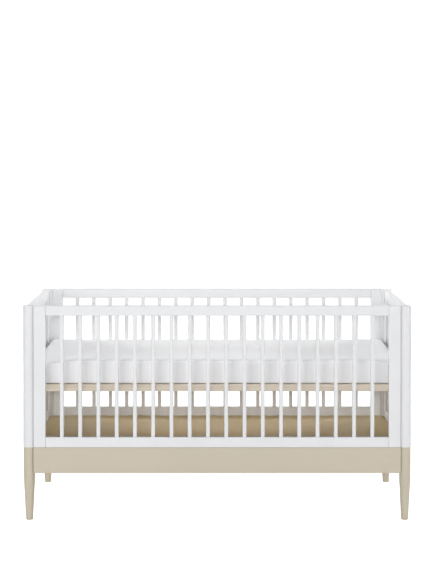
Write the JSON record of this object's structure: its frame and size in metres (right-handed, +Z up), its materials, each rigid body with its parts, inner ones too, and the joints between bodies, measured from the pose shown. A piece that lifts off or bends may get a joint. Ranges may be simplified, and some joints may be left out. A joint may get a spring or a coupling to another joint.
{
  "type": "baby crib",
  "caption": "Wooden baby crib in white and beige, with slatted long sides, panelled ends, turned legs and a mattress on a height-adjustable base",
  "frame": {"origin": "on the floor under the middle of the crib, the bottom centre of its bounding box", "axes": "+X along the crib's length to its right end as seen from the front, +Y to its back, +Z up"},
  "size_m": [1.492, 0.767, 0.825],
  "materials": {
    "white_paint": "satin white paint on wood",
    "beige_paint": "satin beige paint on wood",
    "board_paint": "beige paint on fibreboard",
    "base_wood": "planed wood under a thin beige stain",
    "deck_ply": "bare plywood",
    "mattress_cover": "knitted white mattress cover over foam"
  },
  "bodies": {
    "frame": {"front_slat_01": "white_paint", "front_slat_02": "white_paint", "front_slat_03": "white_paint", "front_slat_04": "white_paint", "front_slat_05": "white_paint", "front_slat_06": "white_paint", "front_slat_07": "white_paint", "front_slat_08": "white_paint", "front_slat_09": "white_paint", "front_slat_10": "white_paint", "front_slat_11": "white_paint", "front_slat_12": "white_paint", "front_slat_13": "white_paint", "front_slat_14": "white_paint", "front_slat_15": "white_paint", "front_slat_16": "white_paint", "front_slat_17": "white_paint", "front_slat_18": "white_paint", "back_left_slats": "white_paint", "back_middle_slats": "white_paint", "back_right_slats": "white_paint", "front_top_rail": "white_paint", "front_bottom_rail": "white_paint", "front_left_stile": "white_paint", "front_right_stile": "white_paint", "front_left_post": "white_paint", "front_right_post": "white_paint", "back_top_rail": "white_paint", "back_bottom_rail": "white_paint", "back_left_stile": "white_paint", "back_right_stile": "white_paint", "back_left_post": "white_paint", "back_right_post": "white_paint", "left_end_top_rail": "white_paint", "left_end_bottom_rail": "white_paint", "left_end_front_stile": "white_paint", "left_end_back_stile": "white_paint", "left_end_panel": "white_paint", "right_end_top_rail": "white_paint", "right_end_bottom_rail": "white_paint", "right_end_front_stile": "white_paint", "right_end_back_stile": "white_paint", "right_end_panel": "white_paint", "front_left_leg": "beige_paint", "front_right_leg": "beige_paint", "back_left_leg": "beige_paint", "back_right_leg": "beige_paint", "front_apron": "beige_paint", "back_apron": "beige_paint", "left_apron": "beige_paint", "right_apron": "beige_paint", "front_board_cleat": "beige_paint", "back_board_cleat": "beige_paint", "base_board": "board_paint"},
    "mattress_base": {"mattress_base_front_rail": "base_wood", "mattress_base_back_rail": "base_wood", "mattress_base_left_rail": "base_wood", "mattress_base_right_rail": "base_wood", "mattress_base_deck": "deck_ply"},
    "mattress": {"mattress": "mattress_cover"}
  },
  "joints": [
    {"name": "base_height", "type": "slide", "parent": "frame", "child": "mattress_base", "axis": [0, 0, 1], "range_m": [-0.2, 0]},
    {"name": "mattress_lift", "type": "slide", "parent": "mattress_base", "child": "mattress", "axis": [0, 0, 1], "range_m": [0, 0.32]}
  ]
}
